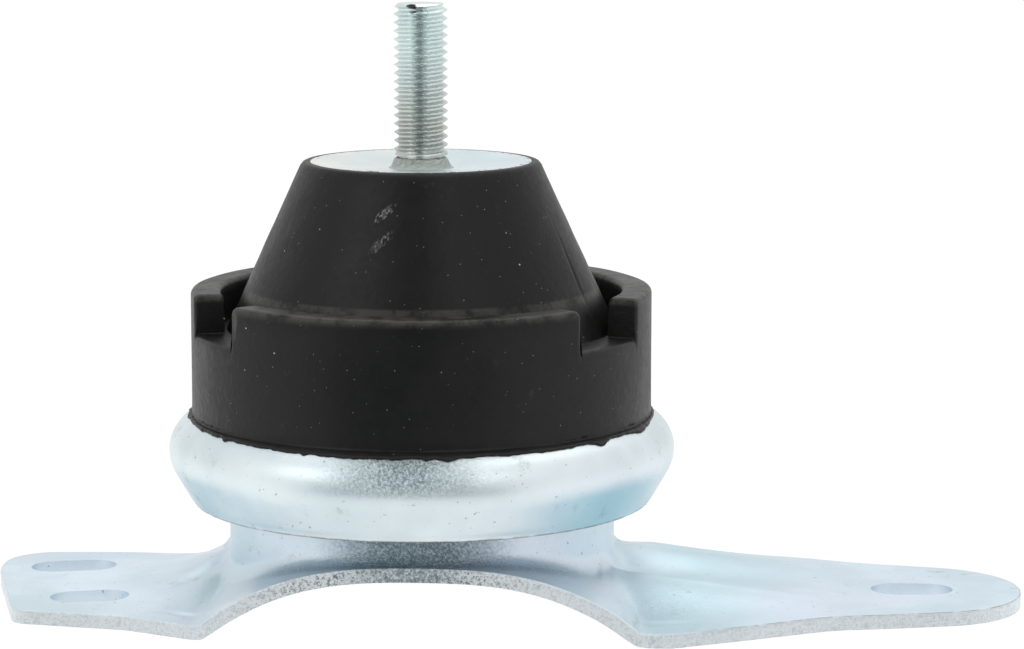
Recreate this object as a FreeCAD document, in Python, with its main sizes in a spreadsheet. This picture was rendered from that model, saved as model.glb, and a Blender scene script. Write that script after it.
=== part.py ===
# Fluid-filled engine mount: a threaded stud stands on a metal core inside a rubber cone,
# the rubber ends in a notched stop collar bonded to a rolled steel ring, the ring is crimped
# over a fluid stack and a steel cup, and the cup stands in the drawn boss of a pressed bracket.
# Millimetres. Z is the axis of the stud, the underside of the bracket lies on z = 0,
# the short ear with two slots points to -X and the long ear with one slot to +X.
import FreeCAD, Part
import math
import os

import Sketcher

Vector = FreeCAD.Vector
doc = FreeCAD.newDocument("EngineMount")

# Driving dimensions: lengths in millimetres, turns in degrees, shares without a unit
DRIVING = {
    # bracket sheet, the arch under its front and back edges, and the drawn boss above the arch
    "sheet_gauge": 3.0,
    "arch_rise": 12.7,
    "arch_margin": 3.2,
    "arch_power": 2.9,
    "arch_shift": 1.15,
    "arch_turn": 2.5,
    "flange_reach": 3.9,
    "flange_reach_back": 2.9,
    "boss_rise": 8.8,
    "neck_bend_share": 0.46,
    "crown_bend_share": 0.85,
    "boss_ledge": 10.9,
    "ear_relief": 0.3,
    # pressed ridges: two run out along the long ear, two splay over the short ear
    "ridge_height": 6.5,
    "ridge_width": 11.0,
    "ridge_spacing": 30.0,
    "ridge_stop": 11.4,
    "ridge_overlap": 2.0,
    "ridge_pinch": 0.9,
    "splay_width": 0.75,
    "splay_root": 0.45,
    "splay_run": 0.85,
    "splay_reach": 1.5,
    # ears
    "long_ear_hole": 103.4,
    "long_ear_radius": 22.8,
    "long_ear_run": 32.4,
    "nose_share": 0.7675,
    "nose_round_share": 1.2,
    "short_ear_margin": 20.4,
    "short_ear_back": 24.4,
    "short_ear_front": 33.0,
    "slot_width": 10.5,
    "slot_length": 17.2,
    "slot_pair_pitch": 29.7,
    "slot_pair_out": 72.2,
    "slot_pair_side": 4.2,
    "slot_pair_angle": 14.0,
    "long_slot_side": 0.6,
    "long_slot_angle": 2.0,
    # crimped ring
    "ring_gauge": 2.2,
    "ring_radius": 53.2,
    "skirt_round": 14.0,
    "shoulder_round": 8.0,
    "seat_turn": 42.0,
    "rim_turn": 67.5,
    "tube_inset": 6.6,
    "tube_height": 19.6,
    "neck_inset": 12.6,
    # fluid stack between the cup and the rubber
    "cup_gauge": 2.0,
    "cup_depth": 15.5,
    "cup_bend": 6.0,
    "cup_fit": 0.3,
    "diaphragm_rim": 2.5,
    "diaphragm_wall": 1.8,
    "bag_share": 0.55,
    "lower_plate": 3.5,
    "upper_plate": 3.0,
    "upper_plate_share": 0.4,
    "stack_fit": 0.4,
    "track_inset": 15.4,
    "track_width": 7.0,
    "track_depth": 2.6,
    "decoupler_radius": 18.0,
    "decoupler_gauge": 2.0,
    "decoupler_play": 0.5,
    "grid_hole": 2.4,
    "grid_radius": 10.0,
    # rubber
    "collar_proud": 1.7,
    "collar_wall": 6.3,
    "collar_height": 8.7,
    "collar_round": 1.2,
    "tube_cover": 5.0,
    "trough_width": 0.8,
    "notch_angle": 22.0,
    "cone_height": 35.9,
    "rim_cover": 1.9,
    "cone_edge_fall": 0.6,
    "cone_edge_step": 0.4,
    "chamber_wall": 6.4,
    "chamber_height": 20.5,
    "chamber_crown": 14.0,
    "chamber_step": 1.5,
    "flash_reach": 1.9,
    "flash_gauge": 0.6,
    "flash_foot": 0.4,
    # core and stud
    "core_radius": 23.2,
    "core_rim": 3.2,
    "core_waist": 17.0,
    "core_nose": 12.0,
    "nose_cover": 7.9,
    "bead_reach": 1.1,
    "bead_height": 1.9,
    "bead_lip": 0.3,
    "stud_diameter": 12.0,
    "stud_reach": 32.8,
    "stud_depth": 16.0,
    "stud_chamfer": 1.1,
    "stud_neck_depth": 0.6,
    "stud_neck_length": 0.9,
}

# Sizes that follow from the driving ones, from the bracket upwards
DERIVED = {
    "boss_top": "arch_rise + sheet_gauge + boss_rise",
    "neck_bend": "boss_rise * neck_bend_share",
    "crown_bend": "(boss_rise - neck_bend) * crown_bend_share",
    "inner_neck_bend": "neck_bend + sheet_gauge",
    "inner_crown_bend": "crown_bend / 4",
    "neck_radius": "ring_radius - neck_inset",
    "inner_neck_radius": "neck_radius - sheet_gauge",
    "inner_boss_top": "boss_top - sheet_gauge",
    "arch_half": "neck_radius + arch_margin",
    "front_edge": "-(neck_radius + flange_reach)",
    "back_edge": "neck_radius + flange_reach_back",
    "arch_slant": "tan(arch_turn * 1 deg)",
    "arch_front_left": "arch_shift - arch_half - front_edge * arch_slant",
    "arch_front_right": "arch_shift + arch_half - front_edge * arch_slant",
    "arch_back_left": "arch_shift - arch_half - back_edge * arch_slant",
    "arch_back_right": "arch_shift + arch_half - back_edge * arch_slant",
    "long_ear_root": "long_ear_hole - long_ear_run",
    "long_ear_tip": "long_ear_hole + long_ear_radius",
    "long_ear_front": "-long_ear_radius",
    "nose_half": "long_ear_radius * nose_share",
    "nose_front": "-nose_half",
    "nose_round": "nose_half * nose_round_share",
    "short_ear_end": "-(slot_pair_out + short_ear_margin)",
    "short_ear_front_edge": "-short_ear_front",
    "ridge_start": "neck_radius - ridge_overlap",
    "ridge_start_side": "ridge_spacing / 2 * ridge_pinch",
    "ridge_end": "long_ear_hole - ridge_stop",
    "ridge_end_side": "ridge_spacing / 2",
    "splay_start_side": "ridge_spacing / 2 * splay_root",
    "splay_end": "neck_radius + ridge_spacing / 2 * splay_run",
    "splay_end_side": "ridge_spacing / 2 * splay_reach",
    "splay_ridge_width": "ridge_width * splay_width",
    "slot_radius": "slot_width / 2",
    "slot_half": "slot_length / 2 - slot_radius",
    "skirt_centre": "ring_radius - skirt_round",
    "shoulder_centre": "ring_radius - shoulder_round",
    "ring_inner": "ring_radius - ring_gauge",
    "skirt_inner_round": "skirt_round - ring_gauge",
    "shoulder_inner_round": "shoulder_round - ring_gauge",
    "ring_belly": "boss_top + skirt_inner_round * sin(seat_turn * 1 deg)",
    "rim_drop": "skirt_inner_round * sin(rim_turn * 1 deg)",
    "skirt_rim": "ring_belly - rim_drop",
    "rim_outer": "skirt_centre + sqrt(skirt_round^2 - rim_drop^2)",
    "rim_inner": "skirt_centre + skirt_inner_round * cos(rim_turn * 1 deg)",
    "ring_tube_radius": "ring_radius - tube_inset",
    "ring_tube_inner": "ring_tube_radius - ring_gauge",
    "ring_tube_top": "ring_belly + tube_height",
    "root_outer": "ring_belly + sqrt(shoulder_round^2 - (ring_tube_radius - shoulder_centre)^2)",
    "root_inner": "ring_belly + sqrt(shoulder_inner_round^2 - (shoulder_centre - ring_tube_inner)^2)",
    "cup_radius": "neck_radius - boss_ledge",
    "cup_floor": "boss_top - cup_depth",
    "cup_flange": "skirt_centre + skirt_inner_round * cos(seat_turn * 1 deg)",
    "cup_flange_top": "boss_top + cup_gauge",
    "cup_inner": "cup_radius - cup_gauge",
    "cup_floor_top": "cup_floor + cup_gauge",
    "cup_corner": "cup_radius - cup_bend",
    "cup_corner_top": "cup_floor + cup_bend",
    "cup_inner_bend": "cup_bend - cup_gauge",
    "boss_hole": "cup_radius + cup_fit",
    "diaphragm_top": "cup_flange_top + diaphragm_rim",
    "diaphragm_sole": "cup_flange_top + cup_fit",
    "diaphragm_step": "cup_inner - cup_fit",
    "diaphragm_neck": "diaphragm_step - diaphragm_wall",
    "diaphragm_low": "cup_floor_top + cup_inner_bend",
    "diaphragm_low_top": "diaphragm_low + diaphragm_wall",
    "bag_radius": "diaphragm_neck * bag_share",
    "lower_plate_top": "diaphragm_top + lower_plate",
    "lower_plate_radius": "cup_flange + stack_fit",
    "track_radius": "lower_plate_radius - track_inset",
    "track_inner": "track_radius - track_width / 2",
    "track_outer": "track_radius + track_width / 2",
    "track_floor": "lower_plate_top - track_depth",
    "recess_floor": "lower_plate_top - decoupler_gauge - decoupler_play",
    "recess_radius": "decoupler_radius + decoupler_play",
    "upper_plate_top": "lower_plate_top + upper_plate",
    "upper_plate_radius": "shoulder_centre + shoulder_inner_round * upper_plate_share",
    "collar_radius": "ring_tube_radius + collar_proud",
    "collar_inner": "collar_radius - collar_wall",
    "trough_floor": "ring_tube_top + tube_cover",
    "collar_top": "trough_floor + collar_height",
    "collar_bevel": "collar_top - collar_round",
    "collar_outer_bevel": "collar_radius - collar_round",
    "collar_inner_bevel": "collar_inner + collar_round",
    "cone_bottom_radius": "collar_inner - trough_width",
    "cone_top_radius": "core_radius + rim_cover",
    "core_face": "trough_floor + cone_height",
    "cone_bevel": "core_face - cone_edge_fall",
    "cone_bevel_radius": "cone_top_radius - cone_edge_step",
    "chamber_radius": "ring_tube_inner - chamber_wall",
    "chamber_top": "upper_plate_top + chamber_height",
    "chamber_lip": "upper_plate_top + chamber_step",
    "flash_radius": "collar_radius + flash_reach",
    "flash_bottom": "upper_plate_top + flash_foot",
    "flash_level": "ring_belly + sqrt(shoulder_round^2 - (flash_radius - shoulder_centre)^2) + flash_gauge",
    "flash_root": "root_outer + flash_gauge",
    "notch_inner": "(collar_inner + cone_bottom_radius) / 2",
    "notch_outer": "flash_radius + flash_gauge",
    "notch_inner_across": "notch_inner * sin(notch_angle / 2 * 1 deg)",
    "notch_inner_up": "notch_inner * cos(notch_angle / 2 * 1 deg)",
    "notch_outer_across": "notch_outer * sin(notch_angle / 2 * 1 deg)",
    "notch_outer_up": "notch_outer * cos(notch_angle / 2 * 1 deg)",
    "core_step": "core_face - core_rim",
    "core_bottom": "chamber_top + nose_cover",
    "stud_radius": "stud_diameter / 2",
    "stud_tip_radius": "stud_radius - stud_chamfer",
    "stud_neck": "stud_radius - stud_neck_depth",
    "stud_top": "core_face + stud_reach",
    "stud_shoulder": "stud_top - stud_chamfer",
    "stud_bottom": "core_face - stud_depth",
    "bead_radius": "stud_radius + bead_reach",
    "bead_neck": "stud_radius + bead_lip",
    "bead_top": "core_face + bead_height",
    "thread_start": "bead_top + stud_neck_length",
}

# Corners of the trimmed sheet, anticlockwise from the front left. Each has the named size its
# place along X is counted from and the offset, the same along Y, and its rounding.
OUTLINE = [
    ("arch_front_left", 0.0, "front_edge", 0.0, 2.0),
    ("arch_front_right", 7.0, "front_edge", 0.0, 9.0),
    ("long_ear_root", 17.0, "long_ear_front", -4.2, 40.0),
    ("long_ear_tip", 0.0, "nose_front", 0.0, "nose_round"),
    ("long_ear_tip", 0.0, "nose_half", 0.0, "nose_round"),
    ("long_ear_root", 0.0, "long_ear_radius", 6.0, 18.0),
    ("arch_back_right", 4.7, "back_edge", 0.0, 3.0),
    ("arch_back_left", 0.7, "back_edge", 0.0, 3.0),
    ("arch_back_left", -6.3, "short_ear_back", -0.6, 3.0),
    ("arch_back_left", -21.3, "short_ear_back", 0.8, 60.0),
    ("short_ear_end", 0.5, "short_ear_back", -0.6, 11.0),
    ("short_ear_end", 0.0, "short_ear_back", -17.0, 40.0),
    ("short_ear_end", 10.6, "short_ear_front_edge", 1.6, 5.0),
    ("arch_front_left", -17.0, "short_ear_front_edge", -3.0, 20.0),
]

sheet = doc.addObject("Spreadsheet::Sheet", "Sizes")
row = 0
for alias, number in DRIVING.items():
    row += 1
    sheet.set("A%d" % row, alias)
    sheet.set("B%d" % row, str(number))
    sheet.setAlias("B%d" % row, alias)
for alias, formula in DERIVED.items():
    row += 1
    sheet.set("A%d" % row, alias)
    sheet.set("B%d" % row, "=" + formula)
    sheet.setAlias("B%d" % row, alias)
doc.recompute()


def size(alias):
    """The value of a named cell, in millimetres or degrees."""
    value = sheet.get(alias)
    return float(getattr(value, "Value", value))


# Helpers for bodies and profiles
def new_body(label):
    """A body named after its piece."""
    body = doc.addObject("PartDesign::Body", label + "_body")
    body.Label = label
    return body


def plane_of(body, role):
    """One of the body's own origin planes."""
    for feature in body.Origin.OriginFeatures:
        if feature.Role == role:
            return feature
    raise ValueError(role)


def new_sketch(body, name, role="XZ_Plane", lift=None):
    """A sketch on an origin plane, raised by a named height where one is given."""
    sketch = body.newObject("Sketcher::SketchObject", name)
    sketch.AttachmentSupport = [(plane_of(body, role), "")]
    sketch.MapMode = "FlatFace"
    if lift:
        sketch.AttachmentOffset = FreeCAD.Placement(Vector(0, 0, size(lift)), FreeCAD.Rotation())
        sketch.setExpression("AttachmentOffset.Base.z", "Sizes." + lift)
    return sketch


def pin_point(sketch, edge, end, across, up):
    """Hold a vertex at two named sizes, or on the axis where a name is None."""
    if across is None:
        sketch.addConstraint(Sketcher.Constraint("PointOnObject", edge, end, -2))
    else:
        index = sketch.addConstraint(Sketcher.Constraint("DistanceX", -1, 1, edge, end, size(across)))
        sketch.setExpression("Constraints[%d]" % index, "Sizes." + across)
    index = sketch.addConstraint(Sketcher.Constraint("DistanceY", -1, 1, edge, end, size(up)))
    sketch.setExpression("Constraints[%d]" % index, "Sizes." + up)


def arc_between(start, end, radius, turn):
    """The short arc from start to end, turning left (1) or right (-1)."""
    chord = end - start
    middle = (start + end) * 0.5
    rise = math.sqrt(max(radius ** 2 - (chord.Length / 2) ** 2, 0.0))
    normal = Vector(-chord.y, chord.x, 0).normalize()
    centre = middle + normal * rise * turn
    outward = (middle - centre)
    if outward.Length < 1e-9:
        outward = normal * -turn
    crown = centre + outward.normalize() * radius
    return Part.Arc(start, crown, end)


def draw_profile(sketch, corners):
    """Closed profile through named corners: (across, up) for a line to the next corner,
    (across, up, radius, turn) for an arc of a named radius to the next corner."""
    places = []
    for corner in corners:
        across = 0.0 if corner[0] is None else size(corner[0])
        places.append(Vector(across, size(corner[1]), 0))
    count = len(corners)
    ends = []
    for index, corner in enumerate(corners):
        start = places[index]
        end = places[(index + 1) % count]
        if len(corner) == 2:
            edge = sketch.addGeometry(Part.LineSegment(start, end), False)
            ends.append((edge, 1, 2))
            continue
        arc = arc_between(start, end, size(corner[2]), corner[3])
        edge = sketch.addGeometry(arc, False)
        first, last = (1, 2) if corner[3] > 0 else (2, 1)
        ends.append((edge, first, last))
        ring = sketch.addConstraint(Sketcher.Constraint("Radius", edge, size(corner[2])))
        sketch.setExpression("Constraints[%d]" % ring, "Sizes." + corner[2])
    for index, corner in enumerate(corners):
        edge, first, last = ends[index]
        following = ends[(index + 1) % count]
        sketch.addConstraint(Sketcher.Constraint("Coincident", edge, last, following[0], following[1]))
        pin_point(sketch, edge, first, corner[0], corner[1])


def turned_body(label, corners):
    """A body made by turning one closed profile about the mount's axis."""
    body = new_body(label)
    sketch = new_sketch(body, label + "_profile")
    draw_profile(sketch, corners)
    turned = body.newObject("PartDesign::Revolution", label + "_turned")
    turned.Profile = sketch
    turned.ReferenceAxis = (sketch, ["V_Axis"])
    turned.Angle = 360.0
    sketch.Visibility = False
    doc.recompute()
    return body


def drill(body, name, radius, away, floor, count=1):
    """Round holes through a plate, from below, spaced evenly at one named distance from the axis."""
    before = body.Shape.Volume
    sketch = new_sketch(body, name + "_sketch", "XY_Plane", floor)
    circle = Part.Circle(Vector(size(away), 0, 0), Vector(0, 0, 1), size(radius))
    sketch.addGeometry(circle, False)
    index = sketch.addConstraint(Sketcher.Constraint("Radius", 0, size(radius)))
    sketch.setExpression("Constraints[%d]" % index, "Sizes." + radius)
    index = sketch.addConstraint(Sketcher.Constraint("DistanceX", -1, 1, 0, 3, size(away)))
    sketch.setExpression("Constraints[%d]" % index, "Sizes." + away)
    sketch.addConstraint(Sketcher.Constraint("PointOnObject", 0, 3, -1))
    pocket = body.newObject("PartDesign::Pocket", name)
    pocket.Profile = sketch
    pocket.Type = "ThroughAll"
    pocket.Reversed = True
    sketch.Visibility = False
    doc.recompute()
    if count > 1:
        pattern = body.newObject("PartDesign::PolarPattern", name + "_pattern")
        pattern.Originals = [pocket]
        pattern.Axis = (sketch, ["N_Axis"])
        pattern.Angle = 360.0
        pattern.Occurrences = count
        body.Tip = pattern
        doc.recompute()
    if body.Shape.Volume >= before:
        raise ValueError(name + " cuts nothing")
    return pocket


# Stud: M12 rod set in the core, with a short neck where the thread runs out.
# The thread is left to the visual model.
stud = turned_body("stud", [
    (None, "stud_bottom"),
    ("stud_radius", "stud_bottom"),
    ("stud_radius", "bead_top"),
    ("stud_neck", "bead_top"),
    ("stud_neck", "thread_start"),
    ("stud_radius", "thread_start"),
    ("stud_radius", "stud_shoulder"),
    ("stud_tip_radius", "stud_top"),
    (None, "stud_top"),
])

# Core: a turned and plated steel insert whose disc closes the top of the rubber cone,
# with a tapered nose inside the rubber, a blind bore for the stud and a conical bead of metal
# staked round the stud where it leaves the disc.
core_insert = turned_body("core_insert", [
    ("stud_radius", "stud_bottom"),
    ("stud_radius", "bead_top"),
    ("bead_neck", "bead_top"),
    ("bead_radius", "core_face"),
    ("core_radius", "core_face"),
    ("core_radius", "core_step"),
    ("core_waist", "core_step"),
    ("core_nose", "core_bottom"),
    (None, "core_bottom"),
    (None, "stud_bottom"),
])

# Ring: one steel pressing with a tube inside the rubber collar, a rolled shoulder outside it
# and a skirt crimped inward over the stack below.
clamp_ring = turned_body("clamp_ring", [
    ("rim_outer", "skirt_rim", "skirt_round", 1),
    ("ring_radius", "ring_belly", "shoulder_round", 1),
    ("ring_tube_radius", "root_outer"),
    ("ring_tube_radius", "ring_tube_top"),
    ("ring_tube_inner", "ring_tube_top"),
    ("ring_tube_inner", "root_inner", "shoulder_inner_round", -1),
    ("ring_inner", "ring_belly", "skirt_inner_round", -1),
    ("rim_inner", "skirt_rim"),
])

# Rubber before its inserts: a thick cone, a trough and a stop collar, hollow underneath
# where the upper fluid chamber lies, with a thin flash laid on the ring's shoulder.
rubber_blank = turned_body("rubber_blank", [
    (None, "chamber_top"),
    ("chamber_crown", "chamber_top"),
    ("chamber_radius", "chamber_lip"),
    ("chamber_radius", "upper_plate_top"),
    ("collar_radius", "upper_plate_top"),
    ("collar_radius", "flash_bottom"),
    ("flash_radius", "flash_bottom"),
    ("flash_radius", "flash_level"),
    ("collar_radius", "flash_root"),
    ("collar_radius", "collar_bevel", "collar_round", 1),
    ("collar_outer_bevel", "collar_top"),
    ("collar_inner_bevel", "collar_top", "collar_round", 1),
    ("collar_inner", "collar_bevel"),
    ("collar_inner", "trough_floor"),
    ("cone_bottom_radius", "trough_floor"),
    ("cone_top_radius", "cone_bevel"),
    ("cone_bevel_radius", "core_face"),
    (None, "core_face"),
])


def cut_notches(body):
    """Three notches through the stop collar, one to each side of the front and one at the back."""
    inner = Vector(size("notch_inner_across"), size("notch_inner_up"), 0)
    outer = Vector(size("notch_outer_across"), size("notch_outer_up"), 0)
    inner_left = Vector(-inner.x, inner.y, 0)
    outer_left = Vector(-outer.x, outer.y, 0)
    sketch = new_sketch(body, "notch_sketch", "XY_Plane", "trough_floor")
    sketch.addGeometry(Part.Arc(inner, Vector(0, size("notch_inner"), 0), inner_left), False)
    sketch.addGeometry(Part.LineSegment(inner_left, outer_left), False)
    sketch.addGeometry(Part.Arc(outer, Vector(0, size("notch_outer"), 0), outer_left), False)
    sketch.addGeometry(Part.LineSegment(outer, inner), False)
    for edge, end, other, other_end in ((0, 2, 1, 1), (1, 2, 2, 2), (2, 1, 3, 1), (3, 2, 0, 1)):
        sketch.addConstraint(Sketcher.Constraint("Coincident", edge, end, other, other_end))
    for arc, name in ((0, "notch_inner"), (2, "notch_outer")):
        pin_point(sketch, arc, 1, name + "_across", name + "_up")
        sketch.addConstraint(Sketcher.Constraint("Symmetric", arc, 1, arc, 2, -2))
        index = sketch.addConstraint(Sketcher.Constraint("Radius", arc, size(name)))
        sketch.setExpression("Constraints[%d]" % index, "Sizes." + name)
    before = body.Shape.Volume
    pocket = body.newObject("PartDesign::Pocket", "notch")
    pocket.Profile = sketch
    pocket.Type = "ThroughAll"
    pocket.Reversed = True
    sketch.Visibility = False
    doc.recompute()
    pattern = body.newObject("PartDesign::PolarPattern", "notch_pattern")
    pattern.Originals = [pocket]
    pattern.Axis = (sketch, ["N_Axis"])
    pattern.Angle = 360.0
    pattern.Occurrences = 3
    body.Tip = pattern
    doc.recompute()
    if body.Shape.Volume >= before:
        raise ValueError("the notches cut nothing")


cut_notches(rubber_blank)

# The rubber is moulded round the ring and the core, so both leave their own shape in it.
inserts = doc.addObject("Part::MultiFuse", "moulded_inserts")
inserts.Shapes = [clamp_ring, core_insert, stud]
rubber_body = doc.addObject("Part::Cut", "rubber_body")
rubber_body.Base = rubber_blank
rubber_body.Tool = inserts
rubber_blank.Label = "rubber_before_moulding"
rubber_body.Label = "rubber_body"
doc.recompute()

# Cup: drawn steel, its flange caught by the crimped skirt and seated on the bracket's boss.
lower_cup = turned_body("lower_cup", [
    (None, "cup_floor"),
    ("cup_corner", "cup_floor", "cup_bend", 1),
    ("cup_radius", "cup_corner_top"),
    ("cup_radius", "boss_top"),
    ("cup_flange", "boss_top"),
    ("cup_flange", "cup_flange_top"),
    ("cup_inner", "cup_flange_top"),
    ("cup_inner", "cup_corner_top", "cup_inner_bend", -1),
    ("cup_corner", "cup_floor_top"),
    (None, "cup_floor_top"),
])

# Diaphragm: a soft rubber bag that closes the lower chamber, its rim clamped on the cup's flange.
diaphragm = turned_body("diaphragm", [
    (None, "diaphragm_low"),
    ("diaphragm_neck", "diaphragm_low"),
    ("diaphragm_step", "cup_flange_top"),
    ("cup_flange", "cup_flange_top"),
    ("cup_flange", "diaphragm_top"),
    ("diaphragm_neck", "diaphragm_top"),
    ("diaphragm_neck", "diaphragm_sole"),
    ("bag_radius", "diaphragm_low_top"),
    (None, "diaphragm_low_top"),
])

# Lower channel plate: cast aluminium with the ring-shaped fluid track and the decoupler's seat.
channel_plate_lower = turned_body("channel_plate_lower", [
    (None, "diaphragm_top"),
    ("lower_plate_radius", "diaphragm_top"),
    ("lower_plate_radius", "lower_plate_top"),
    ("track_outer", "lower_plate_top"),
    ("track_outer", "track_floor"),
    ("track_inner", "track_floor"),
    ("track_inner", "lower_plate_top"),
    ("recess_radius", "lower_plate_top"),
    ("recess_radius", "recess_floor"),
    (None, "recess_floor"),
])
drill(channel_plate_lower, "lower_grid", "grid_hole", "grid_radius", "diaphragm_top", 6)
drill(channel_plate_lower, "lower_port", "grid_hole", "track_radius", "diaphragm_top")

# Upper channel plate: the lid of the track, with a grid of holes over the decoupler.
channel_plate_upper = turned_body("channel_plate_upper", [
    (None, "lower_plate_top"),
    ("upper_plate_radius", "lower_plate_top"),
    ("upper_plate_radius", "upper_plate_top"),
    (None, "upper_plate_top"),
])
drill(channel_plate_upper, "upper_grid", "grid_hole", "grid_radius", "lower_plate_top", 6)
drill(channel_plate_upper, "upper_port", "grid_hole", "track_radius", "lower_plate_top")

# Decoupler: a loose rubber disc that rattles between the two grids at small strokes.
decoupler = doc.addObject("Part::Cylinder", "decoupler")
decoupler.Label = "decoupler"
decoupler.setExpression("Radius", "Sizes.decoupler_radius")
decoupler.setExpression("Height", "Sizes.decoupler_gauge")
decoupler.setExpression("Placement.Base.z", "Sizes.recess_floor")
doc.recompute()


# Bracket: one pressing of thick sheet. Its skin is a smooth surface whose control net is
# worked out from the arch and the ridges, once for the upper side and once, a sheet
# thickness lower, for the underside. The boss is drawn up out of it with a round bend.
def arch_height(x, y):
    """Height of the underside over the base plane: a full arch between the ears, a little askew."""
    middle = size("arch_shift") - y * size("arch_slant")
    away = min(abs(x - middle) / size("arch_half"), 1.0)
    return size("arch_rise") * (1.0 - away ** size("arch_power"))


def ridge(x, y, start, end, width):
    """A rounded ridge that falls from its full height at the start to nothing at the end."""
    along = end - start
    run = along.Length
    along = along * (1.0 / run)
    offset = Vector(x, y, 0) - start
    place = offset.dot(along) / run
    side = abs(offset.x * along.y - offset.y * along.x)
    fall = max(0.0, 1.0 - place)
    fade = fall if fall < 1.0 else max(0.0, 1.0 - 2.0 * (fall - 1.0))
    return size("ridge_height") * fade * math.exp(-(side / width) ** 2)


def ridge_lines():
    """Start, end and width of each ridge, the front pair first."""
    lines = []
    for side in (-1, 1):
        long_start = Vector(size("ridge_start"), side * size("ridge_start_side"), 0)
        long_end = Vector(size("ridge_end"), side * size("ridge_end_side"), 0)
        lines.append((long_start, long_end, size("ridge_width")))
        splay_start = Vector(-size("ridge_start"), side * size("splay_start_side"), 0)
        splay_end = Vector(-size("splay_end"), side * size("splay_end_side"), 0)
        lines.append((splay_start, splay_end, size("splay_ridge_width")))
    return lines


RIDGES = ridge_lines()


def skin_height(x, y):
    """Underside of the pressing: the arch or the ridges, whichever is higher, run together."""
    ridges = sum(ridge(x, y, start, end, width) for start, end, width in RIDGES)
    return (arch_height(x, y) ** 3 + ridges ** 3) ** (1 / 3)


def relief(height, depth):
    """How far the underside's tool is sunk where it is low, so that both ears are cut flat."""
    reach = 6.0 * size("ear_relief")
    return depth * max(0.0, 1.0 - height / reach) ** 2


def stations(first, last, breaks, step_wide, step_fine, reach):
    """Places for control lines: wide steps, with fine ones within reach of the breaks."""
    places = [first]
    while places[-1] < last - 0.5 * step_fine:
        near = min(abs(places[-1] - line) for line in breaks) < reach
        places.append(min(places[-1] + (step_fine if near else step_wide), last))
    return places


def clamped_knots(count):
    """Even knots for a cubic with this many control lines, as values and multiplicities."""
    spans = count - 3
    values = [float(index) for index in range(spans + 1)]
    repeats = [4] + [1] * (spans - 1) + [4]
    return values, repeats


def skin_surface(gauge, sunk):
    """The pressing's surface, lifted by gauge at right angles to the underside."""
    margin = 12.0
    step_wide = 7.0
    step_column = 2.2
    step_row = 5.0
    first = size("short_ear_end") - margin
    last = size("long_ear_tip") + margin
    half_width = -size("front_edge") + margin
    arch_ends = (size("arch_shift") - size("arch_half"), size("arch_shift") + size("arch_half"))
    columns = stations(first, last, arch_ends, step_wide, step_column, step_wide)
    rows = stations(-half_width, half_width, (0.0,), step_wide, step_row, size("ridge_spacing"))
    step = 0.2
    net = []
    for x in columns:
        line = []
        for y in rows:
            height = skin_height(x, y)
            slope_x = (skin_height(x + step, y) - skin_height(x - step, y)) / (2 * step)
            slope_y = (skin_height(x, y + step) - skin_height(x, y - step)) / (2 * step)
            normal = Vector(-slope_x, -slope_y, 1).normalize()
            line.append(Vector(x, y, height - relief(height, sunk)) + normal * gauge)
        net.append(line)
    across, across_repeats = clamped_knots(len(columns))
    along, along_repeats = clamped_knots(len(rows))
    surface = Part.BSplineSurface()
    surface.buildFromPolesMultsKnots(net, across_repeats, along_repeats, across, along, False, False, 3, 3)
    return surface


def pressed_solid(skin, neck, bend, top, crown_bend):
    """Everything below one side of the pressing, with the boss standing on it."""
    depth = 40.0
    bed = skin.toShape().extrude(Vector(0, 0, -depth))
    boss = Part.makeCylinder(neck, top + depth / 2, Vector(0, 0, -depth / 2))
    boss.rotate(Vector(0, 0, 0), Vector(0, 0, 1), 60.0)
    form = bed.fuse(boss)
    root = [edge for edge in form.Edges
            if all(abs(math.hypot(corner.X, corner.Y) - neck) < 0.01 for corner in edge.Vertexes)
            and 0.0 < edge.BoundBox.ZMax < top - 0.1]
    form = form.makeFillet(bend, root)
    crown = [edge for edge in form.Edges
             if abs(edge.BoundBox.ZMin - top) < 0.001 and abs(edge.BoundBox.ZMax - top) < 0.001]
    return form.makeFillet(crown_bend, crown)


def rounded_outline(corners):
    """Closed wire through (x, y, radius) corners, each rounded by its radius."""
    joints = []
    for index, (x, y, radius) in enumerate(corners):
        here = Vector(x, y, 0)
        before = Vector(corners[index - 1][0], corners[index - 1][1], 0)
        after = Vector(corners[(index + 1) % len(corners)][0], corners[(index + 1) % len(corners)][1], 0)
        arriving = (before - here).normalize()
        leaving = (after - here).normalize()
        turn = math.pi - arriving.getAngle(leaving)
        cut = radius * math.tan(turn / 2)
        bisector = (arriving + leaving).normalize()
        centre = here + bisector * (radius / math.cos(turn / 2))
        joints.append((here + arriving * cut, centre - bisector * radius, here + leaving * cut))
    edges = []
    for index, (start, crown, end) in enumerate(joints):
        edges.append(Part.Arc(start, crown, end).toShape())
        following = joints[(index + 1) % len(joints)][0]
        if (following - end).Length > 1e-6:
            edges.append(Part.LineSegment(end, following).toShape())
    return Part.Wire(edges)


def bracket_outline():
    """Plan of the trimmed pressing."""
    corners = []
    for along, along_offset, aside, aside_offset, rounding in OUTLINE:
        radius = size(rounding) if isinstance(rounding, str) else rounding
        corners.append((size(along) + along_offset, size(aside) + aside_offset, radius))
    return rounded_outline(corners)


def slot_tool(x, y, angle):
    """An upright slot-shaped bar centred on (x, y)."""
    radius = size("slot_radius")
    half = size("slot_half")
    foot = -size("sheet_gauge")
    depth = 3 * size("sheet_gauge")
    bar = Part.makeBox(2 * half, 2 * radius, depth, Vector(-half, -radius, foot))
    for side in (-1, 1):
        bar = bar.fuse(Part.makeCylinder(radius, depth, Vector(side * half, 0, foot)))
    bar = bar.removeSplitter()
    bar.rotate(Vector(0, 0, 0), Vector(0, 0, 1), angle)
    bar.translate(Vector(x, y, 0))
    return bar


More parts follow.
